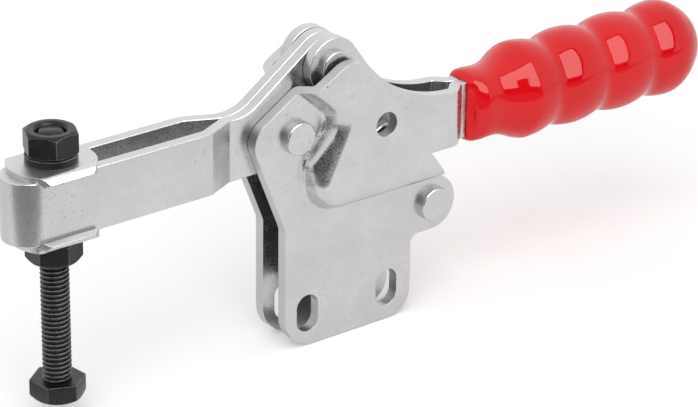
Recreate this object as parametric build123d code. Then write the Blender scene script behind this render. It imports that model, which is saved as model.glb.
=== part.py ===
"""Toggle clamp with a horizontal handle, an open arm and a slotted upright base.

Millimetres. +X runs from the arm's nose to the grip, +Z is up, and the mid-plane is Y = 0. The origin is
the centre of the front mounting slot. Stamped sheet pieces are cut from a side outline and a bent plan
profile, and the base plates are pressed outward over the handle's pivots.
"""
import os
from math import acos, asin, atan2, cos, degrees, hypot, radians, sin, tan

from build123d import *

# ---- sheet and fits ----
sheet = 2.5                    # thickness of the arm strip, the links, the handle and the base plates
layer_seam = 0.1               # seam between two layers that lie back to back
running_gap = 0.1              # per side, between plates that slide on each other
pivot_gap = 0.05               # radial running clearance on pins and bushes
press_gap = 0.02               # radial clearance of a pin riveted into a plate

# ---- pivots, from the front mounting slot ----
arm_pivot = (-3.0, 40.9)
top_pivot = (6.4, 54.1)        # arm to handle
drive_pivot = (19.0, 34.9)     # handle to link
link_pivot = (33.2, 16.4)      # link to base
arm_opening = 90.0             # degrees from clamped to fully open

# ---- pins ----
rivet_radius = 2.5
bush_radius = 3.5
shoulder_radius = 3.0
head_radius = 3.6
link_head_radius = 3.8
base_head_height = 1.7
pocket_head_height = 1.2
head_chamfer = 0.35

# ---- base plates ----
slot_spacing = 21.0
slot_width = 5.6
slot_length = 8.4
base_front = -5.8
base_rear = 27.5
base_bottom = -7.4
base_front_corner = 7.5
base_rear_corner = 5.5
front_bend = 20.3              # height where the front edge turns forward
brow = (-14.8, 43.0)           # front corner over the arm
brow_corner = 5.0
step_corner = (-2.6, 50.65)    # where the top edge starts on the pressed lobe
step_slope = 30.0              # degrees above level, the top edge over the lobe
crown_corner = 6.0
ear_radius = 6.1
ear_blend = 2.0
back_slope = 54.4              # degrees below level, the rear edge from crown to ear
back_offset = 4.9              # from the link pivot to the rear edge
inspection_hole = (16.8, 40.2)
inspection_radius = 2.7

# ---- pressed lobe of a base plate ----
press_depth = 4.5
press_draft = 22.0             # degrees
press_wall = 1.95              # metal left in the drawn wall, across it
press_neck = (5.15, 43.25)     # corner beside the arm pivot
press_neck_corner = 3.6
press_waist = (-1.5, 34.5)
press_waist_corner = 4.0
press_foot = (-1.5, 22.7)
press_foot_corner = 8.0
press_brow_slope = 42.0        # degrees above level, from the neck up to the brow
shoulder_round = 2.8           # outer rim of the lobe
toe_round = 1.0                # outer foot of the lobe's wall
pocket_round = 0.8             # bottom of the hollow behind the lobe
mouth_round = 2.2              # where the hollow leaves the plate's inner face
press_overrun = 30.0           # how far the forming die runs past the plate's edges
pocket_gap = 0.4               # between the handle's edge and the hollow's wall

# ---- clamping arm ----
arm_top = 47.3
arm_bottom = 33.8
leg_gap = 6.3                  # between the legs, for the clamping screw
nose_centre = -64.5
leg_bend_start = -25.3
leg_bend_end = -18.6
leg_bend_radius = 1.0          # inside the bends
arm_head_radius = 6.0          # round the top pivot
arm_rise = 35.3                # degrees, upper edge towards the top pivot
arm_rise_blend = 9.0

# ---- links ----
link_radius = 6.0
hook_clearance = 0.35          # round the bush, along its path in the open eye

# ---- handle ----
handle_head_radius = 6.2
handle_straight = 5.0          # straight run below the top pivot before the hollow
tang_top = 40.5
tang_bottom = 27.85
tang_end = 104.0
joggle_start = 38.9
joggle_end = 41.5
joggle_radius = 1.0            # inside the bends

# ---- grip ----
grip_axis = 34.25
grip_front = 44.2
mouth_middle = 34.15
mouth_height = 13.9
mouth_width = 6.9
mouth_corner = 1.6
waist_x = 50.2
waist_height = 15.8
waist_width = 13.0
waist_corner = 6.0
first_bump = 59.95
bump_pitch = 13.76
bump_count = 4
bump_radius = 10.33
valley_radius = 9.43
oval_height = 1.055            # height and width of the grip's sections against a round one
oval_width = 0.945
tip_length = 9.9               # from the last bump's crest to the domed end
shoulder_share = 0.82          # radius half-way along the domed end, as a share of the crest's
tip_fall = 0.04                # slope at which the domed end leaves the last crest
waist_drop = 0.25              # the waist's middle below the grip's axis
sleeve_steps = 4               # sections from the waist to the first crest
sleeve_delay = 1.3             # above 1, the swell comes later

# ---- clamping screw and its hardware ----
screw_set_back = 5.55          # behind the centre of the arm's round nose
thread_radius = 3.0
across_flats = 10.0
hex_chamfer = 25.0             # degrees
hex_face_share = 0.92          # round end face of a hexagon against its flats
screw_head_height = 4.0
screw_head_top = 1.3           # underside of the shank, upper face of the head
nut_height = 5.0
nut_countersink = 0.5
end_below_nut = 0.3
end_chamfer = 0.5
spring_washer_height = 1.7
spring_washer_radius = 5.3
spring_washer_gap = 0.9
clearance_radius = 3.2
saddle_sheet = 1.3             # flanged washers
saddle_radius = 9.0
saddle_flat = 11.6
saddle_lip = 1.15
saddle_angle = 58.0
saddle_bend_radius = 0.4       # inside the bends
hex_turn_upper = 8.0           # degrees, as tightened
hex_turn_lower = -32.0
hex_turn_head = -23.0

# ---- derived ----
screw_x = nose_centre + screw_set_back
arm_half = sheet + layer_seam / 2
plate_inner = arm_half + running_gap
plate_outer = plate_inner + sheet
lobe_outer = plate_outer + press_depth
lobe_inner = plate_inner + press_depth
saddle_top = arm_top + saddle_sheet
nut_seat = saddle_top + spring_washer_height
lower_nut_top = arm_bottom - saddle_sheet
screw_end = nut_seat + nut_height - end_below_nut


# ---- plane geometry ----
def turned(point, centre, angle):
    """point turned about centre by angle, degrees, +X towards +Z."""
    c, s = cos(radians(angle)), sin(radians(angle))
    x, z = point[0] - centre[0], point[1] - centre[1]
    return (centre[0] + c * x - s * z, centre[1] + s * x + c * z)


def ahead(point, angle, distance):
    return (point[0] + distance * cos(radians(angle)), point[1] + distance * sin(radians(angle)))


def bearing(start, end):
    return degrees(atan2(end[1] - start[1], end[0] - start[0]))


def span(start, end):
    return hypot(end[0] - start[0], end[1] - start[1])


def crossing(point_a, angle_a, point_b, angle_b):
    """Where two lines, each given by a point and an angle, cross."""
    ca, sa = cos(radians(angle_a)), sin(radians(angle_a))
    cb, sb = cos(radians(angle_b)), sin(radians(angle_b))
    dx, dz = point_b[0] - point_a[0], point_b[1] - point_a[1]
    run = (dx * sb - dz * cb) / (ca * sb - sa * cb)
    return (point_a[0] + run * ca, point_a[1] + run * sa)


def linkage_at(opening):
    """Top pivot and drive pivot when the arm is raised by opening degrees."""
    top = turned(top_pivot, arm_pivot, -opening)
    reach = span(top_pivot, drive_pivot)
    radius = span(link_pivot, drive_pivot)
    base = span(top, link_pivot)
    swing = degrees(acos((reach ** 2 + base ** 2 - radius ** 2) / (2 * reach * base)))
    return top, ahead(top, bearing(top, link_pivot) + swing, reach)


def handle_turn():
    """Degrees that the handle turns from clamped to open."""
    top, drive = linkage_at(arm_opening)
    return bearing(top, drive) - bearing(top_pivot, drive_pivot)


def link_turn():
    """Degrees that the link turns from clamped to open."""
    drive = linkage_at(arm_opening)[1]
    return bearing(link_pivot, drive) - bearing(link_pivot, drive_pivot)


def bush_path(steps=24):
    """Centre of the base bush as the link sees it, with every pivot turning at an even rate."""
    path = []
    for step in range(steps + 1):
        share = step / steps
        top = turned(top_pivot, arm_pivot, -arm_opening * share)
        drive = ahead(top, bearing(top_pivot, drive_pivot) + handle_turn() * share,
                      span(top_pivot, drive_pivot))
        turn_back = -link_turn() * share
        seen = turned(link_pivot, drive, turn_back)
        path.append((seen[0] + drive_pivot[0] - drive[0], seen[1] + drive_pivot[1] - drive[1]))
    return path


# ---- sketches in the side view ----
def rounded(corners):
    """Closed face from corners (x, z, radius), each rounded to its radius."""
    count = len(corners)
    lines, starts, ends, arcs = [], [], [], []
    for index, (x, z, radius) in enumerate(corners):
        before, after = corners[index - 1], corners[(index + 1) % count]
        back = bearing((x, z), before)
        on = bearing((x, z), after)
        half = radians(abs((on - back + 180) % 360 - 180)) / 2
        run = radius / tan(half)
        middle_angle = back + ((on - back + 180) % 360 - 180) / 2
        starts.append(ahead((x, z), back, run))
        ends.append(ahead((x, z), on, run))
        arcs.append(ahead((x, z), middle_angle, radius / sin(half) - radius))
    for index in range(count):
        if corners[index][2] > 0:
            lines.append(ThreePointArc(starts[index], arcs[index], ends[index]))
        lines.append(Line(ends[index], starts[(index + 1) % count]))
    return make_face(lines)


def disc(centre, radius):
    return Pos(*centre) * Circle(radius)


def strap(start, start_radius, end, end_radius):
    """Two discs and the band between their outer tangents."""
    lean = degrees(asin((start_radius - end_radius) / span(start, end)))
    along = bearing(start, end)
    left, right = along + 90 - lean, along - 90 + lean
    band = Polygon(ahead(start, left, start_radius), ahead(start, right, start_radius),
                   ahead(end, right, end_radius), ahead(end, left, end_radius), align=None)
    return disc(start, start_radius) + disc(end, end_radius) + band


def slab(face, y_low, y_high):
    """Solid of a side-view face between two Y levels."""
    return extrude(Plane.XZ.offset(-y_high) * face, amount=y_high - y_low)


def plan_solid(face, z_low, z_high):
    return extrude(Plane.XY.offset(z_low) * face, amount=z_high - z_low)


def bent_strip(points, radius, thickness, side):
    """Plan or end profile of a sheet of one thickness that follows a bent line."""
    line = FilletPolyline(*points, radius=radius)
    return make_face(offset(line, amount=thickness, side=side))


def far_side(piece):
    return mirror(piece, about=Plane.XZ)


def cross_bore(centre, radius):
    return slab(disc(centre, radius), -2 * lobe_outer, 2 * lobe_outer)


# ---- base ----
def base_outline():
    back_point = ahead(link_pivot, 90 - back_slope, back_offset)
    crown_point = crossing(step_corner, step_slope, back_point, -back_slope)
    body = rounded([
        (base_front, base_bottom, base_front_corner),
        (base_rear, base_bottom, base_rear_corner),
        (base_rear, link_pivot[1] - ear_radius, ear_blend),
        (link_pivot[0], link_pivot[1] - ear_radius, 0),
        (*ahead(back_point, -back_slope, 0.5), 0),
        (*crown_point, crown_corner),
        (*step_corner, 1.0),
        (*brow, brow_corner),
        (base_front, front_bend, 3.0),
    ])
    return body + disc(link_pivot, ear_radius)


def press_outline(inset):
    """Foot line of the pressed lobe, moved inward by inset. It runs past the plate's top and rear edges."""
    across = 90 - press_brow_slope
    lower = bearing(press_waist, press_neck)
    neck = crossing(ahead(press_neck, across, inset), 180 - press_brow_slope,
                    ahead(press_waist, lower - 90, inset), lower)
    waist = crossing(ahead(press_waist, lower - 90, inset), lower, (press_waist[0] + inset, 0), 90)
    brow_end = ahead(neck, 180 - press_brow_slope, press_overrun)
    far_x, far_z = link_pivot[0] + press_overrun, brow_end[1] + press_overrun
    return rounded([
        (*neck, press_neck_corner + inset),
        (*waist, press_waist_corner - inset / 2),
        (press_foot[0] + inset, press_foot[1] + inset, press_foot_corner - inset),
        (far_x, press_foot[1] + inset, press_foot_corner),
        (far_x, far_z, press_foot_corner),
        (brow_end[0], far_z, press_foot_corner),
        (*brow_end, press_foot_corner),
    ])


def press_die(inset, y_low, y_high, rim_round):
    """Tapered and rounded block that forms one face of the lobe, y_low being its far end."""
    face = Plane.XZ.offset(-y_high) * press_outline(inset)
    block = extrude(face, amount=y_high - y_low, taper=press_draft)
    rim = block.faces().sort_by(Axis.Y)[0].edges()
    return fillet(rim, rim_round)


def mounting_slots():
    slot = Rot(0, 0, 90) * SlotOverall(slot_length, slot_width)
    return slot + Pos(slot_spacing, 0) * slot


def lobe_rim(blank, y_level):
    """Edges where the lobe meets the face of the blank at a Y level."""
    flat = blank.edges().filter_by(Plane.XZ).filter_by_position(Axis.Y, y_level, y_level)
    reach = 4 * press_overrun - 1
    return [edge for edge in flat if abs(edge.center().X - arm_pivot[0]) < reach
            and abs(edge.center().Z - arm_pivot[1]) < reach]


def pressed_sheet():
    """Sheet larger than the plate, with the lobe pressed out of it."""
    wall = press_wall / cos(radians(press_draft)) - sheet * tan(radians(press_draft))
    outer = press_die(0.0, -lobe_outer, -plate_outer, shoulder_round)
    inner = press_die(wall, -lobe_inner, -plate_inner, pocket_round)
    blank = Pos(*arm_pivot) * Rectangle(8 * press_overrun, 8 * press_overrun)
    raised = slab(blank, -plate_outer, -plate_inner) + outer
    raised = fillet(lobe_rim(raised, -plate_outer), toe_round) - inner
    return fillet(lobe_rim(raised, -plate_inner), mouth_round)


def base_plate_near():
    plate = pressed_sheet() & slab(base_outline(), -lobe_outer - 1, -plate_inner)
    plate -= slab(mounting_slots(), -plate_outer - 1, -plate_inner + 1)
    plate -= slab(disc(inspection_hole, inspection_radius), -lobe_outer - 1, -plate_inner)
    for pivot in (arm_pivot, link_pivot):
        plate -= slab(disc(pivot, rivet_radius + press_gap), -plate_outer - 1, -plate_inner + 1)
    return plate


def rivet(centre, y_seat, radius, flange_radius, flange_height):
    """Plain rivet with a chamfered head on each side."""
    shank = slab(disc(centre, radius), -y_seat, y_seat)
    head = slab(disc(centre, flange_radius), -y_seat - flange_height, -y_seat)
    head = chamfer(head.faces().sort_by(Axis.Y)[0].edges(), head_chamfer)
    return shank + head + far_side(head)


def bush(centre):
    ring = disc(centre, bush_radius) - disc(centre, rivet_radius + press_gap)
    return slab(ring, -plate_inner, plate_inner)


# ---- arm ----
def arm_outline():
    crest = ahead(top_pivot, 90 + arm_rise, arm_head_radius)
    foot = crossing((0, arm_top), 0, crest, arm_rise)
    front = nose_centre - leg_gap
    heel = arm_pivot[1] - arm_bottom
    upper = rounded([
        (front, arm_bottom, 0),
        (arm_pivot[0], arm_bottom, 0),
        (*arm_pivot, 0),
        (*top_pivot, 0),
        (*crest, 0),
        (*foot, arm_rise_blend),
        (front, arm_top, 0),
    ])
    return upper + strap(arm_pivot, heel, top_pivot, arm_head_radius)


def arm_plan():
    """Plan of the strip: round nose, two straight legs, and both ends brought back to back."""
    inside = leg_gap / 2
    rear = top_pivot[0] + 2 * arm_head_radius
    near_leg = bent_strip([(nose_centre, -inside), (leg_bend_start, -inside),
                           (leg_bend_end, -layer_seam / 2), (rear, -layer_seam / 2)],
                          [leg_bend_radius, leg_bend_radius + sheet], sheet, Side.RIGHT)
    nose = disc((nose_centre, 0), inside + sheet) - disc((nose_centre, 0), inside)
    nose &= Pos(nose_centre - inside - sheet, 0) * Rectangle(2 * (inside + sheet), 4 * inside)
    return nose + near_leg + mirror(near_leg, about=Plane.XZ)


def clamping_arm():
    arm = plan_solid(arm_plan(), arm_bottom - 1, top_pivot[1] + 2 * arm_head_radius)
    arm &= slab(arm_outline(), -leg_gap, leg_gap)
    arm -= cross_bore(arm_pivot, bush_radius + pivot_gap)
    arm -= cross_bore(top_pivot, shoulder_radius + pivot_gap)
    return arm


# ---- links ----
def link_outline():
    """Bar with a closed eye on the handle and an open eye on the base bush."""
    bar = strap(drive_pivot, link_radius, link_pivot, link_radius)
    bar -= disc(drive_pivot, shoulder_radius + pivot_gap)
    for point in bush_path():
        bar -= disc(point, bush_radius + hook_clearance)
    return bar.faces().sort_by(SortBy.AREA)[-1]


def link_plate_near():
    return slab(link_outline(), -arm_half, -layer_seam / 2)


# ---- handle ----
def pocket_side(gap):
    """Side-view face of the base plate's metal in front of the handle, grown by gap."""
    wall_foot = press_wall / cos(radians(press_draft))
    front = Pos(drive_pivot[0] - press_overrun, drive_pivot[1]) * Rectangle(
        2 * press_overrun, 2 * press_overrun)
    return front - press_outline(wall_foot + gap)


def handle_outline():
    edge_start = ahead(top_pivot, 90 - back_slope, handle_head_radius)
    hollow_start = ahead(edge_start, -back_slope, handle_straight)
    hollow = (hollow_start[1] - tang_top) / (1 - cos(radians(back_slope)))
    hollow_end = (hollow_start[0] + hollow * sin(radians(back_slope)), tang_top)
    middle = ahead((hollow_end[0], tang_top + hollow), -90 - back_slope / 2, hollow)
    tang_height = tang_top - tang_bottom
    web = make_face([
        Line(top_pivot, edge_start),
        Line(edge_start, hollow_start),
        ThreePointArc(hollow_start, middle, hollow_end),
        Line(hollow_end, (tang_end - tang_height / 2, tang_top)),
        ThreePointArc((tang_end - tang_height / 2, tang_top), (tang_end, (tang_top + tang_bottom) / 2),
                      (tang_end - tang_height / 2, tang_bottom)),
        Line((tang_end - tang_height / 2, tang_bottom), (drive_pivot[0] + 2 * handle_head_radius,
                                                         tang_bottom)),
        Line((drive_pivot[0] + 2 * handle_head_radius, tang_bottom),
             (drive_pivot[0], drive_pivot[1] - handle_head_radius)),
        Line((drive_pivot[0], drive_pivot[1] - handle_head_radius), drive_pivot),
        Line(drive_pivot, top_pivot),
    ])
    web += strap(top_pivot, handle_head_radius, drive_pivot, handle_head_radius)
    return web - pocket_side(pocket_gap)


def handle_plate_near():
    line = [(top_pivot[0] - 2 * handle_head_radius, -plate_inner), (joggle_start, -plate_inner),
            (joggle_end, -layer_seam / 2), (tang_end + 1, -layer_seam / 2)]
    strip = bent_strip(line, [joggle_radius, joggle_radius + sheet], sheet, Side.RIGHT)
    plate = plan_solid(strip, tang_bottom - 1, top_pivot[1] + 2 * handle_head_radius)
    plate &= slab(handle_outline(), -2 * plate_outer, 0)
    plate -= cross_bore(top_pivot, rivet_radius + press_gap)
    plate -= cross_bore(drive_pivot, rivet_radius + press_gap)
    return plate


def shoulder_pin(centre):
    """Shouldered rivet between the handle plates, with its heads inside the pressed lobes."""
    shoulder = slab(disc(centre, shoulder_radius), -plate_inner, plate_inner)
    return rivet(centre, plate_outer, rivet_radius, head_radius, pocket_head_height) + shoulder


# ---- grip ----
def grip_section(x, middle, height, width, corner):
    """Closed smooth section across the grip, close to a rounded rectangle."""
    flat_y, flat_z = width / 2 - corner, height / 2 - corner
    points = []
    for turn in range(0, 360, 20):
        c, s = cos(radians(turn)), sin(radians(turn))
        bulge_y = flat_y * max(-1, min(1, 1.6 * c))
        bulge_z = flat_z * max(-1, min(1, 1.6 * s))
        points.append((bulge_y + corner * c, bulge_z + corner * s))
    place = Plane(origin=(x, 0, middle), x_dir=(0, 1, 0), z_dir=(1, 0, 0))
    return place * make_face(Spline(*points, periodic=True))


def grip_bumps():
    """Turned part of the grip from the first crest to the domed tip, made oval afterwards."""
    quarter = bump_pitch / 4
    middle = (bump_radius + valley_radius) / 2
    last = first_bump + (bump_count - 1) * bump_pitch
    first_fall = (first_bump + quarter, middle)
    lines = [TangentArc((first_bump, bump_radius), first_fall, tangent=(1, 0))]
    for index in range(bump_count - 1):
        valley = first_bump + (index + 0.5) * bump_pitch
        crest = valley + 2 * quarter
        lines.append(ThreePointArc((valley - quarter, middle), (valley, valley_radius),
                                   (valley + quarter, middle)))
        if index < bump_count - 2:
            lines.append(ThreePointArc((crest - quarter, middle), (crest, bump_radius),
                                       (crest + quarter, middle)))
    lines += [
        TangentArc((last, bump_radius), (last - quarter, middle), tangent=(-1, 0)),
        Spline((last, bump_radius), (last + tip_length / 2, shoulder_share * bump_radius),
               (last + tip_length, 0), tangents=[(1, -tip_fall), (0, -1)]),
        Line((last + tip_length, 0), (first_bump, 0)),
        Line((first_bump, 0), (first_bump, bump_radius)),
    ]
    return revolve(Plane.XZ * make_face(lines), axis=Axis.X)


def grip_sleeve():
    """From the rounded mouth over the waist to the first crest."""
    crest_height = 2 * bump_radius * oval_height
    crest_width = 2 * bump_radius * oval_width
    sections = [grip_section(grip_front, mouth_middle, mouth_height, mouth_width, mouth_corner)]
    for step in range(sleeve_steps):
        share = step / sleeve_steps
        late = share ** sleeve_delay
        swell = late ** 2 * (3 - 2 * late)
        height = waist_height + (crest_height - waist_height) * swell
        width = waist_width + (crest_width - waist_width) * swell
        corner = waist_corner + (crest_width / 2 - waist_corner) * swell
        middle = grip_axis - waist_drop * (1 - swell)
        x = waist_x + (first_bump - waist_x) * share
        sections.append(grip_section(x, middle, height, width, corner))
    place = Plane(origin=(first_bump, 0, grip_axis), x_dir=(0, 1, 0), z_dir=(1, 0, 0))
    sections.append(place * Ellipse(crest_width / 2, crest_height / 2))
    return loft(sections)


def handle_grip():
    bumps = scale(grip_bumps(), by=(1, oval_width, oval_height))
    grip = Pos(0, 0, grip_axis) * bumps + grip_sleeve()
    plate = handle_plate_near()
    return grip - slab(handle_outline(), -arm_half, arm_half) - plate - far_side(plate)


# ---- clamping screw ----
def hex_solid(z_low, height, turn, chamfer_low, chamfer_high):
    """Hexagon with its corners turned off at the ends that ask for it."""
    corner = across_flats / 2 / cos(radians(30))
    prism = extrude(Pos(screw_x, 0, z_low) * Rot(0, 0, turn) * RegularPolygon(corner, 6), amount=height)
    blank = Pos(screw_x, 0, z_low + height / 2) * Cylinder(corner, height)
    bevel = corner - across_flats / 2 * hex_face_share
    rise = bevel * tan(radians(hex_chamfer))
    for wanted, face in ((chamfer_low, blank.faces().sort_by(Axis.Z)[0]),
                         (chamfer_high, blank.faces().sort_by(Axis.Z)[-1])):
        if wanted:
            blank = chamfer(face.edges(), rise, bevel, reference=face)
    return prism & blank


def nut(z_low, turn):
    body = hex_solid(z_low, nut_height, turn, True, True)
    bore = thread_radius + pivot_gap
    body -= Pos(screw_x, 0, z_low + nut_height / 2) * Cylinder(bore, nut_height)
    for z, flip in ((z_low, 0), (z_low + nut_height, 180)):
        body -= Pos(screw_x, 0, z) * Rot(flip, 0, 0) * Cone(
            bore + nut_countersink, bore, nut_countersink, align=(Align.CENTER, Align.CENTER, Align.MIN))
    return body


def clamping_screw():
    head = hex_solid(screw_head_top - screw_head_height, screw_head_height, hex_turn_head, True, False)
    length = screw_end - screw_head_top
    shank = Pos(screw_x, 0, screw_head_top + length / 2) * Cylinder(thread_radius, length)
    shank = chamfer(shank.faces().sort_by(Axis.Z)[-1].edges(), end_chamfer)
    return head + shank


def spring_washer():
    """Square-section ring with a slanting split."""
    z_middle = saddle_top + spring_washer_height / 2
    ring = Cylinder(spring_washer_radius, spring_washer_height) - Cylinder(clearance_radius, 10)
    split = Rot(0, 0, 200) * Pos(spring_washer_radius, 0, 0) * Rot(35, 0, 0) * Box(
        2 * spring_washer_radius - 2, spring_washer_gap, 10)
    return Pos(screw_x, 0, z_middle) * (ring - split)


def saddle(z_seat, way):
    """Washer cut from a disc, its two sides bent over the edges of the arm's legs."""
    fold = saddle_flat / 2
    out = saddle_lip * cos(radians(saddle_angle))
    down = saddle_lip * sin(radians(saddle_angle))
    line = [(-fold - out, -down), (-fold, 0), (fold, 0), (fold + out, -down)]
    profile = bent_strip(line, saddle_bend_radius, saddle_sheet, Side.LEFT)
    across = Plane(origin=(screw_x - saddle_radius, 0, 0), x_dir=(0, 1, 0), z_dir=(1, 0, 0))
    body = extrude(across * profile, amount=2 * saddle_radius)
    body &= Pos(screw_x, 0, 0) * Cylinder(saddle_radius, 20)
    body -= Pos(screw_x, 0, 0) * Cylinder(clearance_radius, 20)
    if way < 0:
        body = mirror(body, about=Plane.XY)
    return Pos(0, 0, z_seat) * body


def build_all():
    near_plate = base_plate_near()
    handle_plate = handle_plate_near()
    link_plate = link_plate_near()
    return {
        "base_plate_near": near_plate,
        "base_plate_far": far_side(near_plate),
        "arm_pivot_rivet": rivet(arm_pivot, plate_outer, rivet_radius, head_radius, base_head_height),
        "arm_pivot_bush": bush(arm_pivot),
        "link_base_rivet": rivet(link_pivot, plate_outer, rivet_radius, link_head_radius,
                                 base_head_height),
        "link_base_bush": bush(link_pivot),
        "clamping_arm": clamping_arm(),
        "arm_handle_pin": shoulder_pin(top_pivot),
        "link_handle_pin": shoulder_pin(drive_pivot),
        "link_plate_near": link_plate,
        "link_plate_far": far_side(link_plate),
        "handle_plate_near": handle_plate,
        "handle_plate_far": far_side(handle_plate),
        "handle_grip": handle_grip(),
        "upper_saddle_washer": saddle(arm_top, 1),
        "lower_saddle_washer": saddle(arm_bottom, -1),
        "spring_washer": spring_washer(),
        "upper_nut": nut(nut_seat, hex_turn_upper),
        "lower_nut": nut(lower_nut_top - nut_height, hex_turn_lower),
        "clamping_screw": clamping_screw(),
    }


os.makedirs("parts", exist_ok=True)
for node, shape in build_all().items():
    export_step(shape, f"parts/{node}.step")
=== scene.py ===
"""Toggle clamp, dressed over its CAD frame. Metres, in the row frame; helpers that take mm say so."""

from math import atan2, cos, pi, radians, sin, sqrt, tan

import bmesh
import bpy
from mathutils import Matrix, Vector
from mathutils.bvhtree import BVHTree


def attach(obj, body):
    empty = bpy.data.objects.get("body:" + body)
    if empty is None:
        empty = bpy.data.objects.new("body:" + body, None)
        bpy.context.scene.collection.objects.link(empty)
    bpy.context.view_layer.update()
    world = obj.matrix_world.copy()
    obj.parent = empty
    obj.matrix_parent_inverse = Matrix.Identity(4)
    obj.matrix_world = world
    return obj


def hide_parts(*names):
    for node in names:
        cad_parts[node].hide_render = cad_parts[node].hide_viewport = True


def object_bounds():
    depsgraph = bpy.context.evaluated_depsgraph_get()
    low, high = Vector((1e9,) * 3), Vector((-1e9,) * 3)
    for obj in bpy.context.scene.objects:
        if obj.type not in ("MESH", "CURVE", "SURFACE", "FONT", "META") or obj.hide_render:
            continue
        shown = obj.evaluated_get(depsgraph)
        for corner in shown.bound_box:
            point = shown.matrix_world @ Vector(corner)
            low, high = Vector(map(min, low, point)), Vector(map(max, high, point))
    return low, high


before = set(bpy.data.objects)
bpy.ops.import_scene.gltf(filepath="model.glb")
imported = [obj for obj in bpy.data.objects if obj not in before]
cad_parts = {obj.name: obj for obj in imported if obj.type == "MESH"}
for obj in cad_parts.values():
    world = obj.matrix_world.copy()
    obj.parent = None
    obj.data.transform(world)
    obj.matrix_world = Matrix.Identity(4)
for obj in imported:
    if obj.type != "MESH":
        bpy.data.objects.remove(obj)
cad_low, cad_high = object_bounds()
MM = 0.001
ZINC, BLACK, RED = "zinc_plated_steel", "blackened_steel", "red_grip"     # material slots


# ---------------------------------------------------------------- shader helpers
class Nodes:
    """A material's node tree with short ways to add and join nodes."""

    def __init__(self, name):
        self.material = bpy.data.materials.new(name)
        self.material.use_nodes = True
        self.tree = self.material.node_tree
        self.tree.nodes.clear()
        self.shader = self.add("ShaderNodeBsdfPrincipled")
        output = self.add("ShaderNodeOutputMaterial")
        self.join(self.shader.outputs[0], output.inputs["Surface"])
        self.place = self.add("ShaderNodeTexCoord").outputs["Object"]

    def add(self, kind, **settings):
        node = self.tree.nodes.new(kind)
        for key, value in settings.items():
            setattr(node, key, value)
        return node

    def join(self, source, target):
        self.tree.links.new(source, target)

    def put(self, socket, value):
        if hasattr(value, "links"):
            self.join(value, socket)
        else:
            socket.default_value = value

    def noise(self, size_mm, detail=2.0, rough=0.5, stretch=(1, 1, 1), offset=(0, 0, 0)):
        """Noise whose features are about size_mm across, longer along a stretched axis."""
        scale = self.add("ShaderNodeMapping")
        scale.inputs["Scale"].default_value = [1 / (size_mm * MM * s) for s in stretch]
        scale.inputs["Location"].default_value = offset
        self.join(self.place, scale.inputs["Vector"])
        node = self.add("ShaderNodeTexNoise")
        node.inputs["Scale"].default_value = 1.0
        node.inputs["Detail"].default_value = detail
        node.inputs["Roughness"].default_value = rough
        self.join(scale.outputs[0], node.inputs["Vector"])
        return node.outputs[0]

    def span(self, value, low, high, new_low=0.0, new_high=1.0):
        """A value moved from one range to another and kept inside it."""
        node = self.add("ShaderNodeMapRange", clamp=True)
        self.put(node.inputs["Value"], value)
        for socket, number in zip(node.inputs[1:5], (low, high, new_low, new_high)):
            socket.default_value = number
        return node.outputs[0]

    def math(self, operation, a, b=0.0):
        node = self.add("ShaderNodeMath", operation=operation)
        self.put(node.inputs[0], a)
        self.put(node.inputs[1], b)
        return node.outputs[0]

    def mix(self, share, a, b):
        node = self.add("ShaderNodeMix", data_type="RGBA")
        self.put(node.inputs["Factor"], share)
        self.put(node.inputs[6], a)
        self.put(node.inputs[7], b)
        return node.outputs[2]

    def layer(self, under, mask, strength, colour):
        """A colour laid over another where the mask is 1, at the strength asked."""
        return self.mix(self.math("MULTIPLY", mask, strength), under, (*colour, 1))

    def edges(self, radius_mm):
        """1 on outer edges, 0 on flats."""
        bevel = self.add("ShaderNodeBevel", samples=4)
        bevel.inputs["Radius"].default_value = radius_mm * MM
        normal = self.add("ShaderNodeNewGeometry").outputs["Normal"]
        dot = self.add("ShaderNodeVectorMath", operation="DOT_PRODUCT")
        self.join(bevel.outputs[0], dot.inputs[0])
        self.join(normal, dot.inputs[1])
        return self.span(dot.outputs["Value"], 0.995, 0.90)

    def cut_edges_and_shade(self):
        """1 where the surface runs along Y, as at sheared edges, the nose and the washers, 0 on the sides.
        Its darker tone is the duller cut on sheared edges, and painted shade on the other faces.
        """
        parts = self.add("ShaderNodeSeparateXYZ")
        self.join(self.add("ShaderNodeNewGeometry").outputs["True Normal"], parts.inputs[0])
        return self.span(self.math("ABSOLUTE", parts.outputs["Y"]), 0.40, 0.12)

    def bump(self, height, strength, distance_mm):
        node = self.add("ShaderNodeBump")
        node.inputs["Strength"].default_value = strength
        node.inputs["Distance"].default_value = distance_mm * MM
        self.put(node.inputs["Height"], height)
        self.join(node.outputs[0], self.shader.inputs["Normal"])


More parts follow.
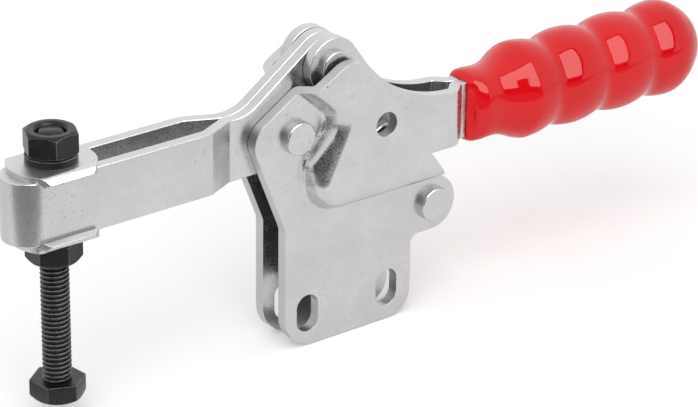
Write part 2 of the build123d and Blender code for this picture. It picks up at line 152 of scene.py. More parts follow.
def zinc_plated():
    """Bright zinc over rolled sheet: fine grain, faint clouds, small dark pits, a painted highlight on the
    rounded edges, and a darker tone off the Y faces: duller cut edges, painted shade on the nose and washers.
    """
    n = Nodes(ZINC)
    grain = n.noise(0.35, 3.0, 0.65)
    cloud = n.noise(9.0, 3.0, 0.55)
    mottle = n.noise(1.6, 4.0, 0.6, offset=(3, 1, 2))
    pits = n.span(n.noise(0.55, 1.0, 0.4, offset=(7, 4, 9)), 0.66, 0.76)
    pits = n.math("MULTIPLY", pits, n.span(n.noise(7.0, 2.0, 0.5, offset=(1, 8, 5)), 0.48, 0.62))
    scratch = n.span(n.noise(0.25, 1.0, 0.3, stretch=(14, 14, 0.8), offset=(5, 5, 5)), 0.72, 0.80)
    scratch = n.math("MULTIPLY", scratch, n.span(n.noise(12.0, 1.0, offset=(9, 2, 6)), 0.52, 0.62))
    cut = n.cut_edges_and_shade()
    tone = n.mix(n.span(cloud, 0.3, 0.7), (0.655, 0.665, 0.67, 1), (0.735, 0.74, 0.74, 1))
    tone = n.layer(tone, n.span(mottle, 0.4, 0.75), 0.30, (0.60, 0.61, 0.615))
    tone = n.layer(tone, pits, 0.45, (0.36, 0.37, 0.38))
    tone = n.layer(tone, scratch, 0.25, (0.45, 0.46, 0.47))
    # painted highlight: a brighter tone on the rounded edges
    tone = n.layer(tone, n.edges(0.25), 0.25, (0.84, 0.845, 0.85))
    # darker tone off the Y faces: the sheared edges' duller cut, and painted shade on the nose, washers and
    # other faces turned from Y
    tone = n.layer(tone, cut, 0.5, (0.58, 0.585, 0.59))
    n.join(tone, n.shader.inputs["Base Color"])
    n.shader.inputs["Metallic"].default_value = 1.0
    rough = n.math("ADD", n.span(grain, 0.3, 0.7, 0.19, 0.27), n.span(cloud, 0.3, 0.7, 0.0, 0.04))
    n.join(n.math("ADD", rough, n.math("MULTIPLY", cut, 0.14)), n.shader.inputs["Roughness"])
    height = n.math("ADD", n.math("MULTIPLY", grain, 0.6), n.math("MULTIPLY", mottle, 0.8))
    height = n.math("SUBTRACT", height, n.math("MULTIPLY", pits, 0.8))
    n.bump(height, 0.8, 0.030)
    return n.material


def black_oxide():
    """Oiled black oxide: nearly black, satin, with a fine grain and lighter edges in spots: rubbed wear and a
    painted highlight.
    """
    n = Nodes(BLACK)
    grain = n.noise(0.25, 3.0, 0.6)
    cloud = n.noise(3.0, 3.0, 0.6, offset=(2, 7, 1))
    tone = n.mix(n.span(cloud, 0.3, 0.7), (0.006, 0.006, 0.007, 1), (0.014, 0.014, 0.015, 1))
    spots = n.span(n.noise(0.9, 2.0, 0.5, offset=(6, 3, 3)), 0.25, 0.5)
    # lighter tone on the edges in spots: rubbed wear, and a painted highlight along the edges
    wear_and_highlight = n.math("MULTIPLY", n.edges(0.22), spots)
    tone = n.layer(tone, wear_and_highlight, 0.9, (0.62, 0.62, 0.625))
    n.join(tone, n.shader.inputs["Base Color"])
    n.join(n.span(grain, 0.3, 0.7, 0.22, 0.34), n.shader.inputs["Roughness"])
    n.shader.inputs["Specular IOR Level"].default_value = 0.36
    n.bump(grain, 0.5, 0.02)
    return n.material


def red_vinyl():
    """Dipped vinyl: saturated red, glossy, with a faint orange-peel and slow colour drift."""
    n = Nodes(RED)
    drift = n.noise(14.0, 2.0, 0.5)
    fleck = n.noise(0.5, 2.0, 0.5, offset=(4, 4, 1))
    tone = n.mix(n.span(drift, 0.3, 0.7), (0.68, 0.0015, 0.005, 1), (0.76, 0.003, 0.008, 1))
    tone = n.layer(tone, n.span(fleck, 0.45, 0.75), 0.10, (0.56, 0.001, 0.004))
    n.join(tone, n.shader.inputs["Base Color"])
    n.join(n.span(drift, 0.3, 0.7, 0.07, 0.11), n.shader.inputs["Roughness"])
    n.shader.inputs["Specular IOR Level"].default_value = 0.46
    peel = n.math("ADD", n.noise(2.2, 2.0, 0.5, offset=(8, 8, 8)), n.math("MULTIPLY", fleck, 0.15))
    n.bump(peel, 0.08, 0.04)
    return n.material


MATERIALS = {ZINC: zinc_plated(), BLACK: black_oxide(), RED: red_vinyl()}


# ---------------------------------------------------------------- mesh helpers
def new_piece(name, mesh, slot, body, nodes):
    """The visual piece that stands in for the CAD nodes, on the body that carries them."""
    piece = bpy.data.objects.new(name, mesh)
    bpy.context.scene.collection.objects.link(piece)
    mesh.materials.clear()
    mesh.materials.append(MATERIALS[slot])
    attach(piece, body)
    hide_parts(*nodes)
    return piece


def finish_mesh(bm, name, angle):
    """Smooth shading with sharp edges past the angle."""
    mesh = bpy.data.meshes.new(name)
    bmesh.ops.recalc_face_normals(bm, faces=bm.faces)
    bm.to_mesh(mesh)
    bm.free()
    for polygon in mesh.polygons:
        polygon.use_smooth = True
    mesh.set_sharp_from_angle(angle=radians(angle))
    return mesh


def weighted(piece):
    """Normals that follow the large faces, so that narrow rounded edges don't shade the flats."""
    modifier = piece.modifiers.new("normals", "WEIGHTED_NORMAL")
    modifier.keep_sharp = True
    modifier.weight = 80


def round_edges(bm, width_mm, angle):
    """Round off the edges that turn by more than the angle."""
    sharp = [e for e in bm.edges if e.is_manifold and e.calc_face_angle(0) > radians(angle)]
    bmesh.ops.bevel(bm, geom=sharp, offset=width_mm * MM, segments=2, profile=0.5,
                    affect="EDGES", clamp_overlap=True)


# ---------------------------------------------------------------- the base plates' lobe
# its gentle slope past the arm pivot: it leaves the lobe's face along a fold line (x, z), and falls at
# right angles to it, towards the rivet, until it meets the lobe's own steep wall. All in mm
PLATE_INNER, PLATE_OUTER, LOBE_HEIGHT = 2.65, 5.15, 4.5     # half widths over Y, and the lobe's rise
FOLD_LOW, FOLD_HIGH = (2.4, 32.5), (6.3, 40.5)
FOLD_FALL, FOLD_ROUND = tan(radians(37)), 0.8
SLOPE_LOW, SLOPE_HIGH, SLOPE_GRID = (-4.0, 26.0), (9.0, 47.0), 0.4      # area cut finely, and its step
SLOPE_SPAN = (27.5, 32.0, 39.8, 44.5)               # heights over which it comes and goes
SLOPE_BLEND = 0.9                                   # where it runs into the lobe's own wall


def smooth(value, low, high):
    """0 below low, 1 above high, and an even S between them."""
    share = max(0.0, min(1.0, (value - low) / (high - low)))
    return share * share * (3 - 2 * share)


def over_slope(face):
    """Whether the face reaches into the area that is cut finely."""
    xs = [v.co.x / MM for v in face.verts]
    zs = [v.co.z / MM for v in face.verts]
    return (min(xs) < SLOPE_HIGH[0] and max(xs) > SLOPE_LOW[0]
            and min(zs) < SLOPE_HIGH[1] and max(zs) > SLOPE_LOW[1])


def cut_grid(bm):
    """Cut the faces of that area into small squares, seen from the side."""
    for axis, low, high in ((Vector((1, 0, 0)), SLOPE_LOW[0], SLOPE_HIGH[0]),
                            (Vector((0, 0, 1)), SLOPE_LOW[1], SLOPE_HIGH[1])):
        at = low
        while at < high:
            faces = [f for f in bm.faces if over_slope(f)]
            edges = list(dict.fromkeys(e for f in faces for e in f.edges))
            corners = list(dict.fromkeys(v for f in faces for v in f.verts))
            bmesh.ops.bisect_plane(bm, geom=faces + edges + corners, dist=1e-7, plane_co=axis * at * MM,
                                   plane_no=axis)
            at += SLOPE_GRID


def slope_height(x, z, rise):
    """Height of the surface over the flat plate once the slope is pressed, where it was at rise."""
    along_x, along_z = FOLD_HIGH[0] - FOLD_LOW[0], FOLD_HIGH[1] - FOLD_LOW[1]
    length = sqrt(along_x ** 2 + along_z ** 2)
    past = ((z - FOLD_LOW[1]) * along_x - (x - FOLD_LOW[0]) * along_z) / length
    fall = past if past > FOLD_ROUND else max(0.0, past + FOLD_ROUND) ** 2 / (4 * FOLD_ROUND)
    wanted = LOBE_HEIGHT - FOLD_FALL * fall
    blend = max(0.0, SLOPE_BLEND - abs(wanted - rise)) ** 2 / (4 * SLOPE_BLEND)
    wanted = min(wanted, rise) - blend * smooth(past, -FOLD_ROUND, FOLD_ROUND)
    share = smooth(z, *SLOPE_SPAN[:2]) * (1 - smooth(z, *SLOPE_SPAN[2:]))
    return rise + (max(0.0, wanted) - rise) * share


def soft_slope(bm):
    """Give the lobe its gentle slope beside the arm pivot, on its outer face alone."""
    cut_grid(bm)
    bm.normal_update()
    for v in bm.verts:
        x, y, z = (c / MM for c in v.co)
        outward = -1 if y < 0 else 1
        rise = abs(y) - PLATE_OUTER
        inside = SLOPE_LOW[0] < x < SLOPE_HIGH[0] and SLOPE_LOW[1] < z < SLOPE_HIGH[1]
        if inside and rise >= 0.02 and v.normal.y * outward >= 0.15:
            v.co.y = outward * (PLATE_OUTER + slope_height(x, z, rise)) * MM


# ---------------------------------------------------------------- pieces that follow the CAD's shape
def softened(node, ending, body, width_mm, slot, shape=None):
    """The CAD node's own shape with its sharp edges rounded, as stamping and plating leave them."""
    name = node + ending
    bm = bmesh.new()
    bm.from_mesh(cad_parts[node].data)
    bmesh.ops.remove_doubles(bm, verts=bm.verts, dist=2e-6)
    bmesh.ops.dissolve_limit(bm, angle_limit=radians(0.4), verts=bm.verts, edges=bm.edges)
    round_edges(bm, width_mm, 32.0)
    if shape:
        shape(bm)
    weighted(new_piece(name, finish_mesh(bm, name, 60.0), slot, body, [node]))


def lathe(profile, steps, to_place):
    """Closed surface turned from (radius, height) pairs that start and end on the axis."""
    bm = bmesh.new()
    rings = []
    for radius, height in profile:
        if radius < 1e-9:
            rings.append([bm.verts.new(to_place @ Vector((0, 0, height)))])
        else:
            rings.append([bm.verts.new(to_place @ Vector((radius * cos(2 * pi * i / steps),
                                                          radius * sin(2 * pi * i / steps), height)))
                          for i in range(steps)])
    for low, high in zip(rings, rings[1:]):
        for i in range(steps):
            j = (i + 1) % steps
            corners = [low[i % len(low)], low[j % len(low)], high[j % len(high)], high[i % len(high)]]
            corners = [v for k, v in enumerate(corners) if v not in corners[:k]]
            if len(corners) > 2:
                bm.faces.new(corners)
    return bm


# ---------------------------------------------------------------- rivets and pins, in mm
SHANK, SHOULDER = 2.5, 3.0                          # radii
HEAD_EDGE, HEAD_DISH, HEAD_STEPS = 0.38, 0.06, 5    # rounded rim, hollow of the face, points of the rim


def head_profile(y_face, radius):
    """One head of a rivet, from its seat on the plate out to the middle of its face."""
    points = [(radius, PLATE_OUTER), (radius, y_face - HEAD_EDGE)]
    for step in range(1, HEAD_STEPS + 1):
        turn = radians(90 * step / HEAD_STEPS)
        points.append((radius - HEAD_EDGE * (1 - cos(turn)), y_face - HEAD_EDGE * (1 - sin(turn))))
    points += [(radius - HEAD_EDGE - 0.35, y_face), (radius - HEAD_EDGE - 0.75, y_face - HEAD_DISH),
               (radius * 0.30, y_face - HEAD_DISH * 0.6), (0, y_face - HEAD_DISH * 0.5)]
    return points


def rivet_piece(node, body, pivot, head_radius, head_height, shoulder=None):
    """Rivet along Y with two round-edged heads, and for a handle's pin a shoulder between the plates."""
    middle = [(shoulder, 0.0), (shoulder, PLATE_INNER), (SHANK, PLATE_INNER)] if shoulder else []
    half = middle + [(SHANK, PLATE_OUTER)] + head_profile(PLATE_OUTER + head_height, head_radius)
    profile = [(r * MM, -y * MM) for r, y in reversed(half)] + [(r * MM, y * MM) for r, y in half]
    place = Matrix.Translation((pivot[0] * MM, 0, pivot[1] * MM)) @ Matrix.Rotation(radians(-90), 4, "X")
    name = node + "_set"
    new_piece(name, finish_mesh(lathe(profile, 72, place), name, 40.0), ZINC, body, [node])


# ---------------------------------------------------------------- the screw and its nuts, in mm
SCREW_X, ACROSS_FLATS, HEX_STEPS = -58.95, 10.0, 120
HEX_FACE, HEX_SLOPE, COUNTERSINK = 0.94, tan(radians(31)), 0.55      # turned faces of the hexagons


def hex_bm(z_low, height, turn, bore=0.0, high_chamfer=True):
    """Hexagon on the screw's axis, its corners turned off, with a countersunk bore if bore is over 0."""
    bm = bmesh.new()
    face_radius = ACROSS_FLATS / 2 * HEX_FACE

    def ring(kind):
        out = []
        for i in range(HEX_STEPS):
            angle = 2 * pi * i / HEX_STEPS
            wide = ACROSS_FLATS / 2 / cos((angle % (pi / 3)) - pi / 6)
            drop = max(0.0, wide - face_radius) * HEX_SLOPE
            r, z = {
                "low_face": (face_radius, z_low),
                "low_edge": (wide, z_low + drop),
                "high_edge": (wide, z_low + height - (drop if high_chamfer else 0)),
                "high_face": (face_radius, z_low + height),
                "high_bore": (bore + COUNTERSINK, z_low + height),
                "high_in": (bore, z_low + height - COUNTERSINK),
                "low_in": (bore, z_low + COUNTERSINK),
                "low_bore": (bore + COUNTERSINK, z_low),
            }[kind]
            a = angle + radians(turn)
            out.append(bm.verts.new(((SCREW_X + r * cos(a)) * MM, r * sin(a) * MM, z * MM)))
        return out

    kinds = ["low_face", "low_edge", "high_edge", "high_face"]
    if bore:
        kinds += ["high_bore", "high_in", "low_in", "low_bore"]
    rings = [ring(k) for k in kinds]
    pairs = list(zip(rings, rings[1:]))
    if bore:
        pairs.append((rings[-1], rings[0]))
    else:
        bm.faces.new(rings[-1])
        bm.faces.new(list(reversed(rings[0])))
    for low, high in pairs:
        for i in range(HEX_STEPS):
            j = (i + 1) % HEX_STEPS
            bm.faces.new((low[i], low[j], high[j], high[i]))
    bmesh.ops.recalc_face_normals(bm, faces=bm.faces)
    return bm


THREAD_RADIUS, PITCH, THREAD_STEPS = 2.97, 1.0, 40
THREAD_DEPTH = 0.6134 * PITCH
END_CHAMFER = 0.15                                  # below the thread's root, at the screw's end
# one turn of the thread's outline: share of the pitch, and height over the root as a share of the depth
THREAD_FORM = [(0.00, 1.0), (0.05, 0.97), (0.12, 0.80), (0.24, 0.42), (0.34, 0.10), (0.40, 0.02),
               (0.50, 0.0), (0.60, 0.02), (0.66, 0.10), (0.76, 0.42), (0.88, 0.80), (0.95, 0.97)]


def thread_point(turn, share, crest, z_low, z_high):
    """Radius and height of one point of the outline after so many turns, cut off at both ends."""
    z = z_low - PITCH + PITCH * (turn + share)
    end_radius = THREAD_RADIUS - THREAD_DEPTH - END_CHAMFER
    if z >= z_high:
        return end_radius, z_high
    r = THREAD_RADIUS - THREAD_DEPTH * (1 - crest)
    return min(r, end_radius + z_high - z), max(z, z_low)


def thread_bm(z_low, z_high):
    """Right-hand thread of rounded trapezoid form on the screw's axis, chamfered at its top end."""
    bm = bmesh.new()
    turns = int((z_high - z_low) / PITCH) + 3
    rows = []
    for step in range(turns * THREAD_STEPS + 1):
        angle = 2 * pi * step / THREAD_STEPS
        row = []
        for share, crest in THREAD_FORM:
            r, z = thread_point(step / THREAD_STEPS, share, crest, z_low, z_high)
            row.append(bm.verts.new(((SCREW_X + r * cos(angle)) * MM, r * sin(angle) * MM, z * MM)))
        rows.append(row)
    for s, (here, there) in enumerate(zip(rows, rows[1:])):
        for k in range(len(THREAD_FORM) - 1):
            bm.faces.new((here[k], there[k], there[k + 1], here[k + 1]))
        if s + THREAD_STEPS + 1 < len(rows):
            up, up_next = rows[s + THREAD_STEPS], rows[s + THREAD_STEPS + 1]
            bm.faces.new((here[-1], there[-1], up_next[0], up[0]))
    bmesh.ops.remove_doubles(bm, verts=bm.verts, dist=2e-6)
    bmesh.ops.dissolve_degenerate(bm, edges=bm.edges, dist=1e-7)
    centre = bm.verts.new((SCREW_X * MM, 0, z_high * MM))
    rim = [e for e in bm.edges if e.is_boundary
           and all(v.co.z > (z_high - 0.01) * MM for v in e.verts)]
    for e in rim:
        bm.faces.new((e.verts[0], e.verts[1], centre))
    return bm


def joined(parts):
    """Several bmeshes as one."""
    whole = bmesh.new()
    for part in parts:
        mesh = bpy.data.meshes.new("part")
        part.to_mesh(mesh)
        part.free()
        whole.from_mesh(mesh)
        bpy.data.meshes.remove(mesh)
    return whole


# ---------------------------------------------------------------- the object
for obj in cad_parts.values():
    for index, old in enumerate(obj.data.materials):
        obj.data.materials[index] = MATERIALS[old.name.split(".")[0]]

SHEETS = {                                          # body, and width of the rounded edges in mm
    "base_plate_near": ("base", 0.28),
    "base_plate_far": ("base", 0.28),
    "clamping_arm": ("arm", 0.30),
    "handle_plate_near": ("handle", 0.25),
    "handle_plate_far": ("handle", 0.25),
    "link_plate_near": ("link", 0.20),
    "link_plate_far": ("link", 0.20),
    "upper_saddle_washer": ("spindle_carriage", 0.22),
    "lower_saddle_washer": ("spindle_carriage", 0.22),
}
for node, (body, width) in SHEETS.items():
    softened(node, "_sheet", body, width, ZINC, soft_slope if body == "base" else None)


def split_to_rear(bm):
    """Turn the spring washer on the screw so that its split faces away from the nose."""
    bmesh.ops.rotate(bm, cent=(SCREW_X * MM, 0, 0), matrix=Matrix.Rotation(radians(150), 3, "Z"),
                     verts=bm.verts)


softened("spring_washer", "_ring", "spindle_carriage", 0.12, BLACK, split_to_rear)

ARM_PIVOT, LINK_PIVOT = (-3.0, 40.9), (33.2, 16.4)
TOP_PIVOT, DRIVE_PIVOT = (6.4, 54.1), (19.0, 34.9)
BASE_HEAD, POCKET_HEAD = 1.7, 1.2                   # heights of the heads outside and inside the lobe
rivet_piece("arm_pivot_rivet", "base", ARM_PIVOT, 3.6, BASE_HEAD)
rivet_piece("link_base_rivet", "base", LINK_PIVOT, 3.8, BASE_HEAD)
rivet_piece("arm_handle_pin", "handle", TOP_PIVOT, 3.6, POCKET_HEAD, SHOULDER)
rivet_piece("link_handle_pin", "handle", DRIVE_PIVOT, 3.6, POCKET_HEAD, SHOULDER)

NUT_HEIGHT, NUT_BORE = 5.0, 3.02
for node, z_low, turn in (("upper_nut", 50.3, 8.0), ("lower_nut", 27.5, -32.0)):
    nut = hex_bm(z_low, NUT_HEIGHT, turn, NUT_BORE)
    round_edges(nut, 0.10, 25.0)
    name = node + "_hex"
    weighted(new_piece(name, finish_mesh(nut, name, 50.0), BLACK, "spindle_carriage", [node]))

HEAD_LOW, HEAD_HEIGHT, HEAD_TURN = -2.7, 4.0, -23.0
SHANK_LOW, SHANK_HIGH = 1.0, 54.98
head = hex_bm(HEAD_LOW, HEAD_HEIGHT, HEAD_TURN, high_chamfer=False)
round_edges(head, 0.12, 25.0)
screw = joined([head, thread_bm(SHANK_LOW, SHANK_HIGH)])
new_piece("clamping_screw_cut", finish_mesh(screw, "clamping_screw_cut", 50.0), BLACK, "spindle",
          ["clamping_screw"])


# ---------------------------------------------------------------- the grip, in mm
GRIP_AXIS, GRIP_FRONT, FIRST_BUMP, BUMP_PITCH, BUMPS = 34.25, 44.2, 59.95, 13.76, 4
BUMP_RADIUS, VALLEY_RADIUS, OVAL_HEIGHT, OVAL_WIDTH = 10.33, 9.25, 1.055, 0.945
CREST_SHARE = 0.76             # of the wave's half pitch, the rest being the narrower valley
LAST_BUMP = FIRST_BUMP + (BUMPS - 1) * BUMP_PITCH
MOUTH_ROUND = 0.3
HOLLOW_HALF, HOLLOW_LOW, HOLLOW_HIGH, HOLLOW_REAR = 2.67, 27.83, 40.52, 104.02
SLEEVE_STEP, SLEEVE_SECTIONS, SLEEVE_PARTS = 1.05, 15, 4
WAVE_RINGS, DOME_RINGS, AROUND = 40, 24, 144        # for each bump, for the domed end, and round the axis
TURNS = [2 * pi * i / AROUND for i in range(AROUND)]
OVAL_TURNS = [atan2(sin(t) / OVAL_HEIGHT, cos(t) / OVAL_WIDTH) for t in TURNS]


def wave_radius(x):
    """Radius in mm of the turned part of the grip: broad round crests and narrow valleys."""
    half, fall = BUMP_PITCH / 2, BUMP_RADIUS - VALLEY_RADIUS
    steep = 2 * atan2(fall, half)
    crest = CREST_SHARE * half
    off = abs((x - FIRST_BUMP + half) % BUMP_PITCH - half)
    if off <= crest:
        arc = crest / sin(steep)
        return BUMP_RADIUS - arc + sqrt(arc ** 2 - off ** 2)
    arc = (half - crest) / sin(steep)
    return VALLEY_RADIUS + arc - sqrt(arc ** 2 - (half - off) ** 2)


def between(rows, share):
    """Smooth row part of the way between rows[1] and rows[2]."""
    a, b, c, d = rows
    return [q + 0.5 * share * (r - p + share * (2 * p - 5 * q + 4 * r - t + share * (3 * (q - r) + t - p)))
            for p, q, r, t in zip(a, b, c, d)]


def oval_ring(x, radius):
    """Points of one oval section of the grip, whose round form would have the radius."""
    return [(x, radius * OVAL_WIDTH * cos(t), GRIP_AXIS + radius * OVAL_HEIGHT * sin(t)) for t in OVAL_TURNS]


def sleeve_rings(reach):
    """From the mouth to the first bump: sections read off the CAD, smoothed, joined by cubic curves."""
    stations = [GRIP_FRONT + 0.02 + SLEEVE_STEP * i for i in range(SLEEVE_SECTIONS)] + [FIRST_BUMP]
    sections = []
    for x in stations:
        row = [reach(x, Vector((0, cos(t), sin(t)))) for t in TURNS]
        if x > GRIP_FRONT + 2:
            row = [(row[i - 2] + 2 * row[i - 1] + 3 * row[i] + 2 * row[(i + 1) % AROUND]
                    + row[(i + 2) % AROUND]) / 9 for i in range(AROUND)]
        sections.append(row)
    for index in range(2, len(sections) - 2):
        sections[index] = [(a + 2 * b + c) / 4 for a, b, c in zip(*sections[index - 1:index + 2])]
    after = [wave_radius(FIRST_BUMP + SLEEVE_STEP) / BUMP_RADIUS * r for r in sections[-1]]
    padded = [sections[0]] + sections + [after]
    rings = []
    for index, (x_low, x_high) in enumerate(zip(stations, stations[1:])):
        for part in range(SLEEVE_PARTS):
            share = part / SLEEVE_PARTS
            x = x_low + (x_high - x_low) * share
            rim = max(0.0, MOUTH_ROUND - (x - GRIP_FRONT))
            inset = MOUTH_ROUND - sqrt(MOUTH_ROUND ** 2 - rim ** 2)
            row = between(padded[index:index + 4], share)
            rings.append([(x, (r - inset) * cos(t), GRIP_AXIS + (r - inset) * sin(t))
                          for r, t in zip(row, TURNS)])
    return rings


def bump_rings():
    """Sections from the first bump's crest up to the last one's."""
    count = WAVE_RINGS * (BUMPS - 1)
    stations = [FIRST_BUMP + (LAST_BUMP - FIRST_BUMP) * index / count for index in range(count)]
    return [oval_ring(x, wave_radius(x)) for x in stations]


def dome_rings(reach):
    """The domed end, its profile read off the CAD as rays from the last crest's centre, and its tip."""
    rises = [radians(90 - 90 * index / DOME_RINGS) for index in range(DOME_RINGS + 1)]
    rays = [reach(LAST_BUMP, Vector((cos(rise), 0, sin(rise)))) for rise in rises]
    rays = [rays[0]] + [(a + b + c) / 3 for a, b, c in zip(rays, rays[1:], rays[2:])] + [rays[-1]]
    rings = [oval_ring(LAST_BUMP + length * cos(rise), length * sin(rise) / OVAL_HEIGHT)
             for length, rise in zip(rays[:-1], rises)]
    return rings, (LAST_BUMP + rays[-1], 0, GRIP_AXIS)


def hollow_ring(x):
    """Outline of the hollow for the handle's plates, with a point for each turn round the axis."""
    points = []
    for t in TURNS:
        c, s = cos(t), sin(t)
        up = (HOLLOW_HIGH if s > 0 else HOLLOW_LOW) - GRIP_AXIS
        scale = min(HOLLOW_HALF / max(abs(c), 1e-9), up / s if abs(s) > 1e-9 else 1e9)
        points.append((x, c * scale, GRIP_AXIS + s * scale))
    return points


def grip_bm():
    """The grip's own shape with smooth surfaces: skin, mouth and hollow."""
    tree = BVHTree.FromObject(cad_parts["handle_grip"], bpy.context.evaluated_depsgraph_get())

    def reach(x, way):
        """Distance from the axis to the skin of the CAD's grip, seen from outside."""
        centre, far = Vector((x, 0, GRIP_AXIS)), 40
        hit = tree.ray_cast((centre + way * far) * MM, -way)[0]
        return (hit / MM - centre).length

    bm = bmesh.new()
    dome, tip_point = dome_rings(reach)
    outlines = sleeve_rings(reach) + bump_rings() + dome
    skin = [[bm.verts.new(Vector(p) * MM) for p in outline] for outline in outlines]
    tip = bm.verts.new(Vector(tip_point) * MM)
    mouth, rear = [[bm.verts.new(Vector(p) * MM) for p in hollow_ring(x)]
                   for x in (GRIP_FRONT, HOLLOW_REAR)]
    for i in range(AROUND):
        bm.faces.new((skin[-1][i], skin[-1][(i + 1) % AROUND], tip))
    for low, high in list(zip(skin, skin[1:])) + [(mouth, skin[0]), (rear, mouth)]:
        for i in range(AROUND):
            j = (i + 1) % AROUND
            bm.faces.new((low[i], low[j], high[j], high[i]))
    bm.faces.new(rear)
    return bm


new_piece("grip_skin", finish_mesh(grip_bm(), "grip_skin", 40.0), RED, "handle", ["handle_grip"])


# ---------------------------------------------------------------- studio, in metres
CENTRE = Vector((0.015, 0, 0.030))
FLOOR_Z = cad_low.z - 0.0002
CAMERA_AZIMUTH, CAMERA_ELEVATION, CAMERA_ROLL = -38.3034, 24.5492, 0.7555
CAMERA_TARGET, CAMERA_DISTANCE = Vector((0.01475, 0, 0.0193049)), 0.684547
FOCAL_PIXELS, PHOTO_WIDTH, SENSOR_WIDTH = 3252.94, 698, 36.0


def direction(azimuth, elevation):
    """Unit vector toward an azimuth, counted from -Y toward +X, and an elevation, both in degrees."""
    a, e = radians(azimuth), radians(elevation)
    return Vector((sin(a) * cos(e), -cos(a) * cos(e), sin(e)))


def panel(name, size, location, material, target=None, solid=False):
    """Flat card, turned to the target if there is one. Only reflections see it unless it is solid."""
    bm = bmesh.new()
    w, h = size[0] / 2, size[1] / 2
    bm.faces.new([bm.verts.new((x, y, 0)) for x, y in ((-w, -h), (w, -h), (w, h), (-w, h))])
    mesh = bpy.data.meshes.new(name)
    bm.to_mesh(mesh)
    bm.free()
    mesh.materials.append(material)
    card = bpy.data.objects.new(name, mesh)
    bpy.context.scene.collection.objects.link(card)
    card.location = location
    if target is not None:
        card.rotation_mode = "QUATERNION"
        card.rotation_quaternion = (target - location).to_track_quat("-Z", "Y")
    card.visible_camera = solid
    card.visible_diffuse = solid
    card.visible_shadow = solid
    return card


def plain(name, grey, emission=0.0):
    """Matt grey material of the studio, with white light of its own if asked."""
    material = bpy.data.materials.new(name)
    material.use_nodes = True
    shader = material.node_tree.nodes["Principled BSDF"]
    shader.inputs["Base Color"].default_value = (grey, grey, grey, 1)
    shader.inputs["Roughness"].default_value = 0.9
    shader.inputs["Specular IOR Level"].default_value = 0.0
    shader.inputs["Emission Color"].default_value = (1, 1, 1, 1)
    shader.inputs["Emission Strength"].default_value = emission
    return material


def by_ray(material, output, low, high, at_low, at_high):
    """Let a material's emission follow what the Light Path says of the ray that meets it."""
    tree = material.node_tree
    rays = tree.nodes.new("ShaderNodeLightPath")
    level = tree.nodes.new("ShaderNodeMapRange")
    tree.links.new(rays.outputs[output], level.inputs["Value"])
    for socket, number in zip(level.inputs[1:5], (low, high, at_low, at_high)):
        socket.default_value = number
    tree.links.new(level.outputs[0], tree.nodes["Principled BSDF"].inputs["Emission Strength"])
    return material


# the pale floor is lifted to white for the camera alone, with its shadows kept
floor = by_ray(plain("pale_floor", 0.93), "Is Camera Ray", 0, 1, 0.0, 0.20)
panel("floor", (6, 6), (0, 0, FLOOR_Z), floor, solid=True)

# cards that only reflections see: the softbox's bright face, dimmer where one metal face shows another,
# its black frame, and dark zones before it
SOFTBOX = direction(0, 38)
BLACK_CARD = plain("black_card", 0.0)
BRIGHT_FACE = by_ray(plain("softbox_face", 0.0), "Glossy Depth", 1, 2, 3.8, 1.15)
for name, size, way, distance, material in (
        ("softbox_face", (1.34, 1.50), SOFTBOX, 1.30, BRIGHT_FACE),
        ("softbox_frame", (1.60, 1.78), SOFTBOX, 1.34, BLACK_CARD),
        ("camera_card", (1.02, 0.92), direction(-37, 4), 1.00, BLACK_CARD),
        ("low_card", (0.75, 0.42), direction(6, -3), 1.05, BLACK_CARD)):
    panel(name, size, CENTRE + way * distance, material, CENTRE)

# a grey cloth lies on the floor in front of the clamp, from CLOTH_START outward towards the camera
CLOTH_SIZE, CLOTH_START = (1.9, 1.6), 0.105
cloth_middle = direction(CAMERA_AZIMUTH, 0) * (CLOTH_SIZE[1] / 2 + CLOTH_START)
cloth = panel("grey_cloth", CLOTH_SIZE, Vector((0, 0, FLOOR_Z + 0.0001)) + cloth_middle,
              plain("grey_cloth", 0.0, 0.25))
cloth.rotation_euler = (0, 0, radians(CAMERA_AZIMUTH))


def soft_light(name, azimuth, elevation, distance, size, radiance):
    """Area lamp turned to the clamp. Reflections show the cards in its place."""
    data = bpy.data.lights.new(name, "AREA")
    data.shape = "RECTANGLE"
    data.size, data.size_y = size
    data.energy = radiance * pi * size[0] * size[1]
    light = bpy.data.objects.new(name, data)
    bpy.context.scene.collection.objects.link(light)
    light.location = CENTRE + direction(azimuth, elevation) * distance
    light.rotation_mode = "QUATERNION"
    light.rotation_quaternion = (CENTRE - light.location).to_track_quat("-Z", "Y")
    light.visible_glossy = False


soft_light("softbox", CAMERA_AZIMUTH - 2, 51, 1.25, (1.1, 1.3), 1.9)

ROOM_AXIS = direction(142, 25)                      # the brightest part of the room in reflections
ROOM_EDGE, ROOM_CORE = cos(radians(62)), cos(radians(18))
ROOM_FAR, ROOM_NEAR, ROOM_DIFFUSE = 0.90, 1.08, 0.62


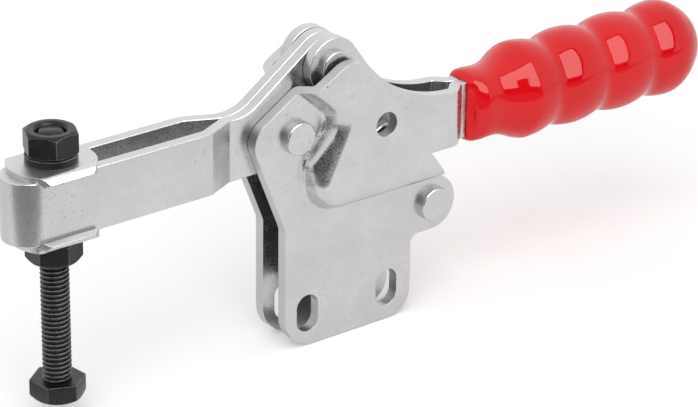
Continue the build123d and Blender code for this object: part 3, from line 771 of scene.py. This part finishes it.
def light_room():
    """White to the camera, an even level on the clamp, and in reflections brighter toward one side."""
    world = bpy.data.worlds.new("studio")
    bpy.context.scene.world = world
    world.use_nodes = True
    tree = world.node_tree

    def math(operation, *values):
        node = tree.nodes.new("ShaderNodeMath")
        node.operation = operation
        for socket, value in zip(node.inputs, values):
            if hasattr(value, "links"):
                tree.links.new(value, socket)
            else:
                socket.default_value = value
        return node.outputs[0]

    toward = tree.nodes.new("ShaderNodeVectorMath")
    toward.operation = "DOT_PRODUCT"
    tree.links.new(tree.nodes.new("ShaderNodeTexCoord").outputs["Generated"], toward.inputs[0])
    toward.inputs[1].default_value = ROOM_AXIS
    shown = tree.nodes.new("ShaderNodeMapRange")
    shown.interpolation_type = "SMOOTHSTEP"
    tree.links.new(toward.outputs["Value"], shown.inputs["Value"])
    for socket, number in zip(shown.inputs[1:5], (ROOM_EDGE, ROOM_CORE, ROOM_FAR, ROOM_NEAR)):
        socket.default_value = number
    rays = tree.nodes.new("ShaderNodeLightPath").outputs
    reflected = math("MAXIMUM", rays["Is Glossy Ray"], rays["Is Transmission Ray"])
    extra = math("MULTIPLY", math("SUBTRACT", shown.outputs[0], ROOM_DIFFUSE), reflected)
    level = math("MAXIMUM", math("ADD", ROOM_DIFFUSE, extra), rays["Is Camera Ray"])
    background = tree.nodes["Background"]
    background.inputs["Color"].default_value = (1, 1, 1, 1)
    tree.links.new(level, background.inputs["Strength"])


light_room()


# ---------------------------------------------------------------- camera
def place_camera():
    """The photograph's camera, solved in the row frame, with its roll."""
    data = bpy.data.cameras.new("camera")
    camera = bpy.data.objects.new("camera", data)
    bpy.context.scene.collection.objects.link(camera)
    back = direction(CAMERA_AZIMUTH, CAMERA_ELEVATION)
    right = (-back).cross(Vector((0, 0, 1))).normalized()
    up = right.cross(-back)
    roll = radians(CAMERA_ROLL)
    right, up = right * cos(roll) + up * sin(roll), up * cos(roll) - right * sin(roll)
    pose = Matrix((right, up, back)).transposed().to_4x4()
    pose.translation = CAMERA_TARGET + back * CAMERA_DISTANCE
    camera.matrix_world = pose
    data.sensor_fit = "HORIZONTAL"
    data.sensor_width = SENSOR_WIDTH
    data.lens = FOCAL_PIXELS * SENSOR_WIDTH / PHOTO_WIDTH
    data.clip_start, data.clip_end = 0.05, 20
    bpy.context.scene.camera = camera


place_camera()
bpy.context.scene.view_settings.view_transform = "Standard"
